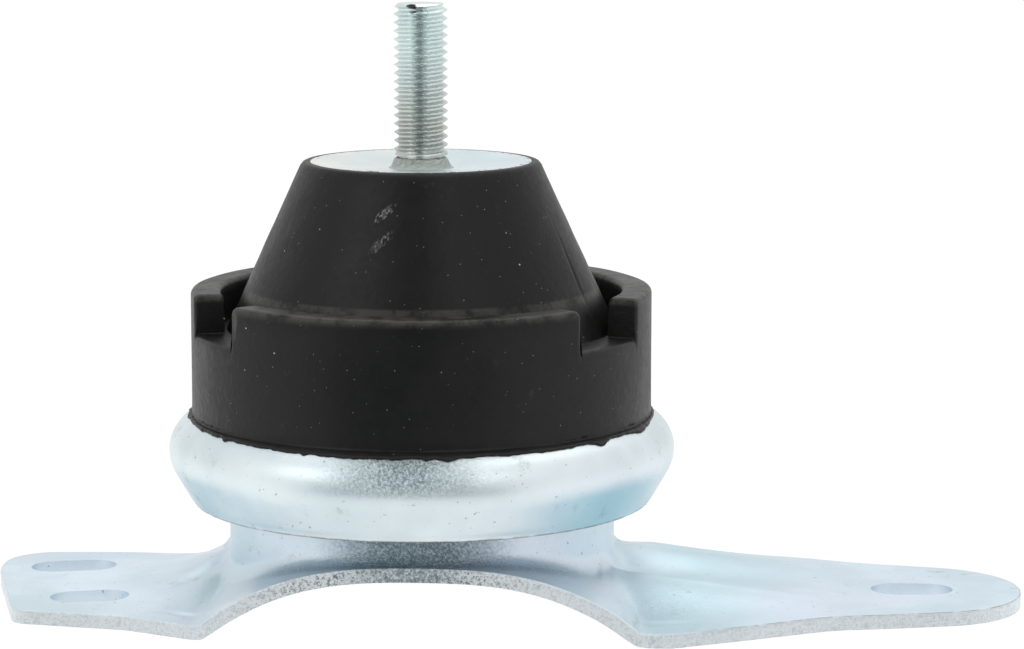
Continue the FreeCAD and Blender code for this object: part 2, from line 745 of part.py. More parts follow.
def slot_places():
    """Centre and direction of each slot."""
    angle = size("slot_pair_angle")
    half = size("slot_pair_pitch") / 2
    turn = math.radians(angle)
    across = Vector(-math.sin(turn), math.cos(turn), 0)
    middle = Vector(-size("slot_pair_out"), -size("slot_pair_side"), 0)
    back = middle + across * half
    front = middle - across * half
    return [
        (back.x, back.y, angle),
        (front.x, front.y, angle),
        (size("long_ear_hole"), -size("long_slot_side"), size("long_slot_angle")),
    ]


def make_bracket():
    """Upper form less lower form, trimmed to the outline, with the cup's hole and the slots."""
    top = size("boss_top")
    outer = pressed_solid(skin_surface(size("sheet_gauge"), 0.0), size("neck_radius"), size("neck_bend"),
                          top, size("crown_bend"))
    inner = pressed_solid(skin_surface(0.0, size("ear_relief")), size("inner_neck_radius"),
                          size("inner_neck_bend"), size("inner_boss_top"), size("inner_crown_bend"))
    blank = Part.Face(bracket_outline()).extrude(Vector(0, 0, 2 * top))
    hole = Part.makeCylinder(size("boss_hole"), 3 * top, Vector(0, 0, -top))
    pressing = outer.common(blank).cut(inner).cut(hole)
    for x, y, angle in slot_places():
        pressing = pressing.cut(slot_tool(x, y, angle))
    return pressing


mount_bracket = doc.addObject("Part::Feature", "mount_bracket")
mount_bracket.Label = "mount_bracket"
mount_bracket.Shape = make_bracket()
doc.recompute()

# Check and write each piece
PIECES = [
    stud,
    core_insert,
    rubber_body,
    clamp_ring,
    channel_plate_upper,
    decoupler,
    channel_plate_lower,
    diaphragm,
    lower_cup,
    mount_bracket,
]

for item in doc.Objects:
    if "Invalid" in item.State or "Error" in item.State:
        raise ValueError("%s did not build: %s" % (item.Label, item.State))
for piece in PIECES:
    shape = piece.Shape
    if shape.isNull() or not shape.isValid() or len(shape.Solids) != 1:
        raise ValueError("%s is not one valid solid" % piece.Label)

os.makedirs("parts", exist_ok=True)
for piece in PIECES:
    piece.Shape.exportStep("parts/%s.step" % piece.Label)
    box = piece.Shape.BoundBox
    print("%-20s %9.0f mm3  z %6.2f to %6.2f" % (piece.Label, piece.Shape.Volume, box.ZMin, box.ZMax))
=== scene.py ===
import math

import bpy
import numpy as np
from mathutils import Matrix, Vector


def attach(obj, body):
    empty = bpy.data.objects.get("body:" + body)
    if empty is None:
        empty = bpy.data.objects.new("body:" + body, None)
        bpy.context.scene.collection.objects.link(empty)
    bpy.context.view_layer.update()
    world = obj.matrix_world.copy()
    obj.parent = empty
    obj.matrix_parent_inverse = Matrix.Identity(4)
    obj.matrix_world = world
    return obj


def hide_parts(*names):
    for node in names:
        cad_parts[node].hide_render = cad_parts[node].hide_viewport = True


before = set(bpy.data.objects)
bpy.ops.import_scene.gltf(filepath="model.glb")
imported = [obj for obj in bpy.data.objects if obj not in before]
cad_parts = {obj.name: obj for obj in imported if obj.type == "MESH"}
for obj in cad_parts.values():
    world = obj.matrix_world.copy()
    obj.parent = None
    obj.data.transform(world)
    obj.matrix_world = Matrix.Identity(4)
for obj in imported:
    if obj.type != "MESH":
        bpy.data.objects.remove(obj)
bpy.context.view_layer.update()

# Studio: a wide pale floor under a white room, with a soft lamp overhead and one at each side.
# The floor is white to the camera; in reflections it is painted grey in front of the mount, a painted shade for the
# unlit room there.
MM = 0.001


class Value:
    """A number or colour that a material carries, with arithmetic that adds its nodes."""

    def __init__(self, finish, socket):
        self.finish = finish
        self.socket = socket

    def reckon(self, operation, *others):
        return self.finish.node("ShaderNodeMath", {"operation": operation}, dict(enumerate((self,) + others)))

    def __add__(self, other):
        return self.reckon("ADD", other)

    def __sub__(self, other):
        return self.reckon("SUBTRACT", other)

    def __mul__(self, other):
        return self.reckon("MULTIPLY", other)

    def __truediv__(self, other):
        return self.reckon("DIVIDE", other)

    def __rsub__(self, other):
        return self.finish.number(other).reckon("SUBTRACT", self)

    __radd__ = __add__
    __rmul__ = __mul__

    def power(self, exponent):
        return self.reckon("POWER", exponent)

    def most(self, other):
        return self.reckon("MAXIMUM", other)

    def size(self):
        return self.reckon("ABSOLUTE")

    def between(self, low, high):
        """0 below low, 1 above high, with a smooth rise."""
        settings = {"interpolation_type": "SMOOTHSTEP", "clamp": True}
        return self.finish.node("ShaderNodeMapRange", settings, {0: self, 1: low, 2: high})


class Finish:
    """A node tree of one material or of the world, to which nodes are added one at a time."""

    def __init__(self, owner):
        owner.use_nodes = True
        self.tree = owner.node_tree
        self.tree.nodes.clear()

    def node(self, kind, settings=None, inputs=None, output=0):
        made = self.tree.nodes.new(kind)
        for name, setting in (settings or {}).items():
            if name == "stops":
                ramp = made.color_ramp
                for index, (place, colour) in enumerate(setting):
                    stop = ramp.elements[index] if index < 2 else ramp.elements.new(place)
                    stop.position = place
                    stop.color = (*colour, 1.0)
            else:
                setattr(made, name, setting)
        for name, given in (inputs or {}).items():
            if isinstance(given, Value):
                self.tree.links.new(given.socket, made.inputs[name])
            else:
                made.inputs[name].default_value = given
        return Value(self, made.outputs[output]) if made.outputs else made

    def number(self, amount):
        return self.node("ShaderNodeMath", {"operation": "ADD"}, {0: amount, 1: 0.0})

    def mix(self, share, first, second, way="MIX"):
        """first where share is 0 and second where it is 1."""
        first = (*first, 1.0) if isinstance(first, tuple) else first
        second = (*second, 1.0) if isinstance(second, tuple) else second
        settings = {"data_type": "RGBA", "blend_type": way}
        return self.node("ShaderNodeMix", settings, {0: share, 6: first, 7: second}, output=2)

    def place(self):
        return self.node("ShaderNodeTexCoord", output=3)

    def parts(self, vector):
        """The three numbers of a vector."""
        whole = self.node("ShaderNodeSeparateXYZ", None, {0: vector})
        outputs = whole.socket.node.outputs
        return [Value(self, outputs[axis]) for axis in range(3)]

    def noise(self, vector, scale, detail=2.0, roughness=0.5, output=0):
        inputs = {"Vector": vector, "Scale": scale, "Detail": detail, "Roughness": roughness}
        return self.node("ShaderNodeTexNoise", {"noise_dimensions": "3D"}, inputs, output)

    def bump(self, height, depth, under=None):
        """Normal for a relief whose height runs from 0 to 1 over a depth in metres."""
        inputs = {"Height": height, "Distance": depth, "Strength": 1.0}
        if under is not None:
            inputs["Normal"] = under
        return self.node("ShaderNodeBump", None, inputs)


world = bpy.data.worlds.new("white_room")
bpy.context.scene.world = world
room = Finish(world)
direction = room.parts(room.node("ShaderNodeTexCoord", output=0))
# a dark gap between the two front lights runs from the horizon nearly to overhead
level_reach = (direction[0] * direction[0] + direction[1] * direction[1] + 0.0001).power(0.5)
gap_across = 1.0 - (direction[0] / level_reach).size().between(0.15, 0.38)
gap_front = (direction[1] * -1.0 / level_reach).between(0.10, 0.50)
gap_low = direction[2].between(-0.10, 0.10) * (1.0 - direction[2].between(0.93, 0.99))
room_level = 0.86 - 0.74 * gap_across * gap_front * gap_low
seen = room.node("ShaderNodeLightPath")
seen_directly = Value(room, seen.socket.node.outputs["Is Camera Ray"])
room_strength = room_level + (1.0 - room_level) * seen_directly
background = room.node("ShaderNodeBackground", None, {"Color": (1.0, 1.0, 1.0, 1.0), "Strength": room_strength})
room.node("ShaderNodeOutputWorld", None, {"Surface": background})

floor_mesh = bpy.data.meshes.new("floor")
floor_half = 6.0
floor_mesh.from_pydata(
    [(-floor_half, -floor_half, 0), (floor_half, -floor_half, 0),
     (floor_half, floor_half, 0), (-floor_half, floor_half, 0)], [], [(0, 1, 2, 3)])
floor = bpy.data.objects.new("floor", floor_mesh)
bpy.context.collection.objects.link(floor)
floor_material = bpy.data.materials.new("white_floor")
floor_finish = Finish(floor_material)
floor_ray = floor_finish.node("ShaderNodeLightPath").socket.node.outputs
floor_seen = Value(floor_finish, floor_ray["Is Camera Ray"])
floor_place = floor_finish.parts(floor_finish.place())
floor_aside = floor_place[0].size() / (0.03 - floor_place[1]).most(0.01)
# painted shade: seen only in reflections, the floor in front of the mount is dark grey
floor_painted_shade = (floor_place[1] * -1.0).between(0.10, 0.16) * (1.0 - floor_aside.between(0.45, 1.0))
floor_painted_shade = floor_painted_shade * (1.0 - floor_seen)
floor_colour = floor_finish.mix(floor_painted_shade, (0.86, 0.87, 0.88), (0.16, 0.19, 0.21))
floor_paint = floor_finish.node("ShaderNodeBsdfDiffuse", None, {"Color": floor_colour})
floor_glow = floor_finish.node("ShaderNodeEmission", None, {"Color": (1.0, 1.0, 1.0, 1.0), "Strength": 1.04})
floor_lit = floor_seen * 0.95 + (1.0 - floor_seen) * (1.0 - floor_painted_shade) * 0.62
floor_mix = floor_finish.node("ShaderNodeMixShader", None, {0: floor_lit, 1: floor_paint, 2: floor_glow})
floor_finish.node("ShaderNodeOutputMaterial", None, {"Surface": floor_mix})
floor_mesh.materials.append(floor_material)


def soft_lamp(name, place, aim, across, watts):
    """A square area lamp at a place, turned to its aim, both in metres."""
    data = bpy.data.lights.new(name, "AREA")
    data.size = across
    data.energy = watts
    lamp = bpy.data.objects.new(name, data)
    lamp.location = place
    lamp.rotation_euler = (Vector(aim) - Vector(place)).to_track_quat("-Z", "Y").to_euler()
    bpy.context.collection.objects.link(lamp)


soft_lamp("lamp_over", (0.1, 0.25, 1.3), (0.02, 0.0, 0.05), 1.5, 6.0)
soft_lamp("lamp_left", (-0.73, -0.74, 0.68), (0.0, 0.0, 0.05), 0.55, 1.3)
soft_lamp("lamp_right", (0.50, -0.92, 0.70), (0.0, 0.0, 0.05), 0.50, 0.9)

bpy.context.scene.view_settings.view_transform = "Standard"

# Camera: the photograph's view, from the front, a little to the right and nine degrees down.
camera_data = bpy.data.cameras.new("camera")
camera_data.sensor_width = 36.0
camera_data.lens = 129.7
camera_data.clip_start = 0.05
camera_data.clip_end = 50.0
camera = bpy.data.objects.new("camera", camera_data)
camera.location = Vector((69.75, -763.7, 176.1)) * MM
camera_aim = Vector((18.95, 1.3, 58.2)) * MM
camera.rotation_euler = (camera_aim - camera.location).to_track_quat("-Z", "Y").to_euler()
bpy.context.collection.objects.link(camera)
bpy.context.scene.camera = camera

# Stud: zinc-plated M12 rod, its thread rolled to the tip and run out over a short neck. Its plain
# foot is pressed into the core. Its top is cut flat, with a small chamfer.
def turned(radius, height, angle):
    """Points (r cos a, r sin a, z), rows along the first axis and columns round the mount's axis."""
    radius, height, angle = np.broadcast_arrays(radius, height, angle)
    return np.stack([radius * np.cos(angle), radius * np.sin(angle), height], axis=-1) * MM


def ripple(angle, counts, seed):
    """Uneven value round a circle: the mean of sine waves with these counts and seeded phases."""
    dice = np.random.default_rng(seed)
    phases = dice.uniform(0.0, 2 * math.pi, len(counts))
    heights = dice.uniform(0.5, 1.0, len(counts))
    waves = [height * np.sin(count * angle + phase) for count, height, phase in zip(counts, heights, phases)]
    return sum(waves) / heights.sum()


def closed_mesh(name, grid, first_pole=None, last_pole=None):
    """Closed mesh over a grid whose columns run round. Poles close its ends, or else the rows loop."""
    rows, columns = grid.shape[:2]
    index = np.arange(rows * columns).reshape(rows, columns)
    points = grid.reshape(-1, 3)
    looped = first_pole is None
    lower = index if looped else index[:-1]
    upper = np.roll(index, -1, axis=0) if looped else index[1:]
    quads = np.stack([lower, np.roll(lower, -1, axis=1), np.roll(upper, -1, axis=1), upper], axis=-1)
    faces = quads.reshape(-1, 4).tolist()
    if not looped:
        first, last = rows * columns, rows * columns + 1
        points = np.vstack([points, np.array([first_pole, last_pole]) * MM])
        start, end = index[0], index[-1]
        faces += np.stack([np.full(columns, first), np.roll(start, -1), start], axis=-1).tolist()
        faces += np.stack([end, np.roll(end, -1), np.full(columns, last)], axis=-1).tolist()
    mesh = bpy.data.meshes.new(name)
    mesh.from_pydata(points.tolist(), [], faces)
    triangles = np.array([f[:3] for f in faces] + [(f[0], f[2], f[3]) for f in faces if len(f) == 4])
    corners = points[triangles]
    if np.einsum("ij,ij->i", corners[:, 0], np.cross(corners[:, 1], corners[:, 2])).sum() < 0:
        mesh.flip_normals()
    mesh.polygons.foreach_set("use_smooth", np.ones(len(mesh.polygons), dtype=bool))
    mesh.set_sharp_from_angle(angle=math.radians(38.0))
    return mesh


def add_piece(name, mesh, node_name, material):
    """Place a piece on the one body instead of its solid."""
    piece = bpy.data.objects.new(name, mesh)
    bpy.context.collection.objects.link(piece)
    mesh.materials.append(material)
    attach(piece, "root")
    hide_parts(node_name)


def zinc_plate(name, roughness, stain, grain=1.0, edge=False, tone=(1.0, 1.0, 1.0), grime=0.0, crumbs=0.0):
    """Zinc plating: pale blue-grey with lilac and sea-green tints, fine grain and dark specks. With edge, the
    mesh's attributes say where its edge is sheared and coarse, where a brown line marks the lip (on the ring's
    rim this line is painted shade), where the sheet is coarse-grained and painted dark as painted shade and
    painted reflection, and where it is teal. Grime is for the stud, and crumbs are for the core."""
    material = bpy.data.materials.new(name)
    finish = Finish(material)
    place = finish.place()
    cloud = finish.noise(place, 34.0, 3.0, 0.6)
    tint = finish.noise(place, 17.0, 2.0, 0.5)
    pale = tuple(part * share for part, share in zip((0.80, 0.87, 0.90), tone))
    dull = tuple(part * share for part, share in zip((0.70, 0.775, 0.815), tone))
    colour = finish.mix(cloud.between(0.40, 0.66), dull, pale)
    colour = finish.mix(tint.between(0.56, 0.72) * 0.45, colour, (0.74, 0.75, 0.87))
    colour = finish.mix(tint.between(0.46, 0.30) * 0.45, colour, (0.58, 0.76, 0.78))
    blotch = finish.noise(place, 95.0, 5.0, 0.72)
    colour = finish.mix(blotch.between(0.60, 0.80) * stain, colour, (0.40, 0.42, 0.42))
    speck = finish.noise(place, 900.0, 2.0, 0.6)
    colour = finish.mix(speck.between(0.68, 0.76) * 0.6 * stain, colour, (0.20, 0.19, 0.18))
    if grime:
        # handling marks: a warm film on the lower half and one black smudge by the tip
        across, along, up = finish.parts(place)
        film = 1.0 - (up + cloud * 0.012).between(0.104, 0.126)
        colour = finish.mix(film * grime, colour, (0.47, 0.455, 0.425))
        off_x, off_y, off_z = (across + 0.0014) * 780.0, (along + 0.0044) * 600.0, (up - 0.1253) * 1500.0
        smudge = off_x * off_x + off_y * off_y + off_z * off_z
        colour = finish.mix((smudge + speck * 1.6).between(1.9, 1.2), colour, (0.025, 0.025, 0.025))
    if crumbs:
        # black rubber crumbs stick to the disc's rim, and one side of its face is creamy
        across, along, up = finish.parts(place)
        from_axis = (across * across + along * along).power(0.5)
        cream = (across * -1.0).between(-0.006, 0.012) * cloud.between(0.30, 0.60)
        colour = finish.mix(cream * 0.6, colour, (0.86, 0.83, 0.75))
        crumb = from_axis.between(0.0212, 0.0230) * speck.between(0.58, 0.64) * crumbs
        colour = finish.mix(crumb, colour, (0.03, 0.03, 0.03))
    crystal = finish.noise(place, 3600.0, 3.0, 0.75)
    orange_peel = finish.noise(place, 420.0, 3.0, 0.6)
    rough = roughness + (cloud - 0.5) * 0.20 + (crystal - 0.5) * 0.30
    peel_depth = 0.00006 * grain
    crystal_depth = 0.000022 * grain
    normal = finish.bump(orange_peel, peel_depth)
    normal = finish.bump(crystal, crystal_depth, normal)
    if edge:
        edge_here = finish.node("ShaderNodeAttribute", {"attribute_name": "edge"}, output=2)
        lip_brown_and_rim_shade = finish.node("ShaderNodeAttribute", {"attribute_name": "lip"}, output=2)
        torn = finish.noise(place, 1500.0, 4.0, 0.8)
        teal_here = finish.node("ShaderNodeAttribute", {"attribute_name": "teal"}, output=2)
        colour = finish.mix(teal_here, colour, (0.42, 0.68, 0.74))
        colour = finish.mix(edge_here * 0.75, colour, (0.92, 0.95, 0.96))
        # the torn grain is dark; at the middle of the arch, under the ring's overhang, it is darker still as painted
        # shade
        under_ring_shade = 1.0 - (finish.parts(place)[0] + 0.002).size().between(0.010, 0.038)
        dark_grain_and_shade = edge_here * torn.between(0.50, 0.60) * (0.20 + 0.68 * under_ring_shade)
        colour = finish.mix(dark_grain_and_shade, colour, (0.17, 0.18, 0.18))
        brown = finish.noise(place, 300.0, 3.0, 0.7)
        # a brown line on the lip; on the ring's rim it is painted shade
        colour = finish.mix(lip_brown_and_rim_shade * brown.between(0.30, 0.60) * 0.75, colour, (0.24, 0.19, 0.14))
        normal = finish.bump(torn * edge_here, 0.00065, normal)
        # painted shade and painted reflection: where the attribute says, the zinc is painted dark teal-grey, with
        # coarse grain
        grain_and_painted_shade = finish.node("ShaderNodeAttribute", {"attribute_name": "grain_and_painted_shade"}, output=2)
        shade_grain = finish.noise(place, 1700.0, 3.0, 0.75)
        colour = finish.mix(grain_and_painted_shade * (0.72 + (shade_grain - 0.5) * 4.0), colour, (0.225, 0.31, 0.335))
        normal = finish.bump(shade_grain * grain_and_painted_shade, 0.00050, normal)
        rough = rough + edge_here * 0.10
    skin = finish.node("ShaderNodeBsdfPrincipled", None,
                       {"Base Color": colour, "Metallic": 1.0, "Roughness": rough, "Normal": normal})
    finish.node("ShaderNodeOutputMaterial", None, {"Surface": skin})
    return material


stud_foot, stud_thread_foot, stud_top = 76.9, 94.2, 125.7
stud_radius, thread_pitch, thread_depth = 5.60, 1.75, 0.95
shank_radius, shank_top, neck_foot, thread_root = 6.0, 90.9, 91.6, 4.72
stud_angle = np.linspace(0.0, 2 * math.pi, 97)[:-1][None, :]
thread_height = np.linspace(stud_thread_foot, stud_top, 361)[:, None]
# phase runs once round per pitch; the groove has straight flanks between a flat crest and a flat root
phase = (thread_height / thread_pitch - stud_angle / (2 * math.pi)) % 1.0
groove = np.clip((0.43 - np.abs(phase - 0.5)) / 0.30, 0.0, 1.0)
run_out = np.clip((thread_height - stud_thread_foot + 0.2) / 1.6, 0.0, 1.0)
thread_radius = stud_radius - thread_depth * groove * run_out
thread_radius = np.minimum(thread_radius, 4.7 + (stud_top - thread_height) * 1.05)
foot_height = np.array([stud_foot, stud_foot + 0.01, shank_top, neck_foot, stud_thread_foot - 0.15])[:, None]
foot_radius = np.array([5.99, shank_radius, shank_radius, thread_root, thread_root])[:, None]
stud_grid = turned(np.vstack([foot_radius + 0 * stud_angle, thread_radius]),
                   np.vstack([foot_height + 0 * stud_angle, thread_height + 0 * stud_angle]), stud_angle)
stud_mesh = closed_mesh("stud_visual", stud_grid, (0, 0, stud_foot), (0, 0, stud_top - 0.12))
add_piece("stud_visual", stud_mesh, "stud",
          zinc_plate("stud_zinc", 0.28, 1.0, 0.8, tone=(0.97, 1.0, 0.95), grime=0.65))

# Core: turned steel disc, slightly dished, with a tapered nose inside the rubber, zinc plated. An
# uneven bead of metal is staked round the stud where it leaves the disc.
def profile_path(*runs):
    """One array of (radius, height) rows from single corners and runs of them."""
    return np.vstack([np.atleast_2d(np.asarray(run, dtype=float)) for run in runs])


def arc(centre, radius, start, end, steps):
    """Points of an arc in the profile's plane, from one direction to another in degrees."""
    turn = np.radians(np.linspace(start, end, steps))
    return np.stack([centre[0] + radius * np.cos(turn), centre[1] + radius * np.sin(turn)], axis=-1)


core_face, core_radius, disc_underside = 92.9, 23.2, 89.7
nose_wide, nose_narrow, nose_bend, nose_end = 17.0, 12.6, 67.0, 63.9
core_columns = 192
core_angle = np.linspace(0.0, 2 * math.pi, core_columns + 1)[:-1][None, :]
bead_foot = 91.4
bead_corners = np.arange(8)
bead_steps = np.linspace(0.0, 7.0, 22)
bead_radius = np.interp(bead_steps, bead_corners, (4.78, 4.95, 5.25, 5.55, 5.85, 6.15, 6.5, 7.0))
bead_height = np.interp(bead_steps, bead_corners, (2.1, 2.25, 2.1, 1.6, 1.05, 0.5, 0.1, 0.0))
bead_path = np.stack([bead_radius, bead_foot + bead_height], axis=-1)
core_path = profile_path((shank_radius, stud_foot), (shank_radius, shank_top), (4.78, 91.65), bead_path,
                         np.stack([np.linspace(9.0, 22.0, 8), np.linspace(bead_foot + 0.06, core_face, 8)], axis=-1),
                         arc((core_radius - 0.25, core_face - 0.25), 0.25, 90, 0, 4),
                         (core_radius, disc_underside), (nose_wide, disc_underside), (nose_narrow, nose_bend),
                         arc((11.0, 65.0), 1.1, 10, -90, 5))
bead_share = np.exp(-((core_path[:, 1] - bead_foot - 1.3) / 1.0) ** 2)
bead_share = bead_share * (core_path[:, 0] > 4.9) * (core_path[:, 0] < 7.0)
bead_uneven = 0.38 * ripple(core_angle, (2, 3, 5, 9, 14, 23), 4) + 0.45 * np.exp(-((core_angle - 5.6) / 0.30) ** 2)
bead_crumble = 0.22 * ripple(core_angle + 1.9 * core_path[:, 1:], (13, 19, 29, 43), 5)
core_grid = turned(core_path[:, :1] + bead_share[:, None] * (bead_uneven + bead_crumble),
                   core_path[:, 1:] + bead_share[:, None] * (0.25 * bead_uneven + bead_crumble), core_angle)
core_mesh = closed_mesh("core_visual", core_grid, (0, 0, stud_foot), (0, 0, nose_end))
add_piece("core_visual", core_mesh, "core_insert",
          zinc_plate("core_zinc", 0.38, 0.8, 0.9, crumbs=1.0))
core_mesh.materials.append(zinc_plate("bead_zinc", 0.56, 1.8, 5.0, tone=(0.60, 0.55, 0.48)))
face_row = np.arange(len(core_mesh.polygons)) // core_columns
bead_faces = (face_row >= 2) & (face_row <= len(bead_path))
core_mesh.polygons.foreach_set("material_index", bead_faces.astype(np.int32))

# Rubber: one black moulding, cone, trough and stop collar, bonded to the core and to the ring's tube.
# Three notches cut its collar, and a thin ragged flash lies on the ring's shoulder.
def moulded_rubber(name):
    """Satin black rubber with a fine skin, pale dust and two pale streaked places on the cone."""
    material = bpy.data.materials.new(name)
    finish = Finish(material)
    place = finish.place()
    across, along, up = finish.parts(place)
    cloud = finish.noise(place, 60.0, 4.0, 0.6)
    skin_noise = finish.noise(place, 700.0, 4.0, 0.65)
    colour = finish.mix(cloud.between(0.35, 0.70), (0.0050, 0.0049, 0.0046), (0.0085, 0.0083, 0.0078))
    # painted shade: the cone is painted blacker than the collar, for the dark gap in front of it
    colour = finish.mix(up.between(0.060, 0.068) * 0.85, colour, (0.0015, 0.0015, 0.0014))
    flow = finish.noise(place, 150.0, 5.0, 0.75)
    colour = finish.mix(flow.between(0.62, 0.80) * 0.35, colour, (0.075, 0.073, 0.070))
    dots = finish.node("ShaderNodeTexVoronoi", {"feature": "F1"}, {"Vector": place, "Scale": 260.0})
    rare = finish.noise(place, 210.0, 1.0, 0.5)
    cone_front = (along * -1.0).between(0.010, 0.018)

    def off_from(middle_x, middle_z, reach):
        """How far each point lies from a place on the cone's front, across and up, in reaches."""
        return (across - middle_x * MM) * (1000.0 / reach), (up - middle_z * MM) * (1000.0 / reach)

    # crumbs gather in two drifts on the front of the cone
    drift = finish.number(0.0)
    for middle_x, middle_z, reach in ((14.0, 84.5, 7.0), (2.0, 79.0, 5.0)):
        off_x, off_z = off_from(middle_x, middle_z, reach)
        drift = drift.most(1.0 - (off_x * off_x + off_z * off_z).between(0.1, 1.0))
    drift = drift * cone_front
    dust = dots.between(0.060, 0.025) * (rare + drift * 0.14).between(0.48, 0.56)
    small_dots = finish.node("ShaderNodeTexVoronoi", {"feature": "F1"}, {"Vector": place, "Scale": 620.0})
    small_rare = finish.noise(place, 330.0, 1.0, 0.5)
    small_dust = small_dots.between(0.085, 0.03) * (small_rare + drift * 0.25).between(0.46, 0.54)
    dust = dust.most(small_dust * (0.55 + 0.3 * drift))
    # two pale places on the cone's front, each a slanting patch of fine streaks
    pale_patch = finish.number(0.0)
    for middle_x, middle_z, reach in ((-5.4, 79.4, 3.6), (-5.1, 84.9, 2.9)):
        off_x, off_z = off_from(middle_x, middle_z, reach)
        lengthwise, crosswise = off_x * 0.77 + off_z * 0.64, (off_z * 0.77 - off_x * 0.64) * 3.4
        spread = lengthwise * lengthwise + crosswise * crosswise + (flow - 0.5) * 3.2
        pale_patch = pale_patch.most(1.0 - spread.between(0.0, 1.3))
    pale_patch = pale_patch * cone_front
    streak_place = finish.node("ShaderNodeMapping", None,
                               {0: place, "Rotation": (0.0, 0.87, 0.0), "Scale": (1.0, 1.0, 0.30)})
    streak = finish.noise(streak_place, 2100.0, 1.0, 0.6)
    pale_streaks = pale_patch * (streak.between(0.52, 0.66) + skin_noise.between(0.50, 0.62) * 0.3)
    colour = finish.mix(pale_streaks * 0.58, colour, (0.30, 0.30, 0.29))
    colour = finish.mix(dust * 0.85, colour, (0.55, 0.55, 0.53))
    # the collar's edges are rubbed pale and dust lies on its tops
    ridge = finish.node("ShaderNodeNewGeometry", output=7)
    on_collar = 1.0 - up.between(0.0664, 0.0670)
    above_flash = up.between(0.0425, 0.0455)
    rubbed = ridge.between(0.505, 0.58) * flow.between(0.30, 0.60) * on_collar * above_flash
    colour = finish.mix(rubbed * 0.6, colour, (0.10, 0.097, 0.090))
    film = up.between(0.0643, 0.0658) * on_collar * flow.between(0.36, 0.58)
    colour = finish.mix(film * 0.30, colour, (0.13, 0.125, 0.115))
    rough = 0.43 + (cloud - 0.5) * 0.26 + (skin_noise - 0.5) * 0.22
    normal = finish.bump(flow, 0.00018)
    normal = finish.bump(skin_noise, 0.00005, normal)
    skin = finish.node("ShaderNodeBsdfPrincipled", None,
                       {"Base Color": colour, "Roughness": rough, "Normal": normal, "Specular IOR Level": 0.27})
    finish.node("ShaderNodeOutputMaterial", None, {"Surface": skin})
    return material


collar_radius, collar_inner, collar_top, trough_floor = 48.3, 42.0, 66.3, 57.9
shoulder_centre, ring_belly, shoulder_round, shoulder_inside = 45.2, 32.4, 8.0, 5.8
tube_inner, tube_outer, tube_top = 44.4, 46.6, 52.0
notch_edges = np.array([79.0, 101.0, 199.0, 222.0, 317.0, 341.0])
edge_steps = np.array([-0.9, -0.5, -0.14, 0.0, 0.14, 0.3, 0.5, 0.75, 1.0, 1.3, 1.7])
edge_columns = [edge + side * edge_steps for edge, side in zip(notch_edges, (-1, 1) * 3)]
degrees = np.unique(np.round(np.concatenate([np.arange(0.0, 360.0, 0.5)] + edge_columns), 2))
degrees = degrees[np.concatenate([np.diff(degrees) > 0.09, [True]])]
rubber_angle = np.radians(degrees)[None, :]
# distance along the collar from the nearest notch edge, positive on the segment
into_segment = np.full(len(degrees), 360.0)
for start, end in notch_edges.reshape(3, 2):
    from_middle = np.abs((degrees - (start + end) / 2 + 180.0) % 360.0 - 180.0)
    into_segment = np.minimum(into_segment, from_middle - (end - start) / 2)
into_segment = np.radians(into_segment)[None, :] * collar_radius
corner_round = 1.6
corner = np.clip(1.0 - into_segment / corner_round, 0.0, 1.0)
segment_top = collar_top - corner_round * (1.0 - np.sqrt(1.0 - corner ** 2))
segment_top = segment_top + 0.12 * ripple(rubber_angle, (3, 5, 8, 13), 8)
foot_round = 0.7
foot = np.clip(1.0 + into_segment / foot_round, 0.0, 1.0)
notch_floor = trough_floor + 0.05 + foot_round * (1.0 - np.sqrt(1.0 - foot ** 2)) * (into_segment < -0.02)
top = np.where(into_segment > -0.02, segment_top, notch_floor)
end_round = 0.8 * (1.0 - np.sqrt(1.0 - np.clip(1.0 - into_segment / 1.2, 0.0, 1.0) ** 2)) * (into_segment > -0.02)

# lumps on the flash: direction in degrees, width in degrees, how far out
lumps = ((181.0, 0.9, 0.35), (208.0, 4.0, 0.3), (221.5, 1.4, 0.6), (247.0, 1.0, 0.4),
         (276.0, 0.8, 0.5), (281.0, 1.8, 0.6), (322.0, 2.5, 0.8), (341.0, 5.0, 0.9))
flash_lumps = sum(height * np.exp(-(((degrees - place + 180) % 360 - 180) / width) ** 2)
                  for place, width, height in lumps)
flash_edge = 48.85 + 1.1 * np.maximum(-np.sin(rubber_angle), 0.0) ** 2
flash_edge = flash_edge + 0.30 * ripple(rubber_angle, (5, 9, 16, 27, 41), 21)
flash_edge = flash_edge + 0.12 * ripple(rubber_angle, (60, 83, 121, 170), 22) + flash_lumps[None, :]
flash_edge = np.maximum(flash_edge, 48.75)
# at the front the flash runs smoothly into the wall, towards the sides it stands loose
loose = np.clip((np.abs(degrees - 270.0) - 38.0) / 12.0, 0.0, 1.0)[None, :]
flash_thick = 0.36 + 0.06 * loose + (0.05 + 0.09 * loose) * ripple(rubber_angle, (11, 29, 52, 97, 160), 23)
edge_turn = np.arccos(np.clip((flash_edge - shoulder_centre) / shoulder_round, -1.0, 1.0))
root_turn = math.acos((tube_outer - shoulder_centre) / shoulder_round)
wave = 0.10 * ripple(rubber_angle, (2, 3, 7), 31)

rubber_radius = []
rubber_height = []


def add_rows(radius, height):
    """Append rows of the moulding's section, each with one radius and one height for every column."""
    radius, height, _ = np.broadcast_arrays(radius, height, rubber_angle)
    rubber_radius.append(radius)
    rubber_height.append(height)


def column(*values):
    return np.array(values, dtype=float)[:, None]


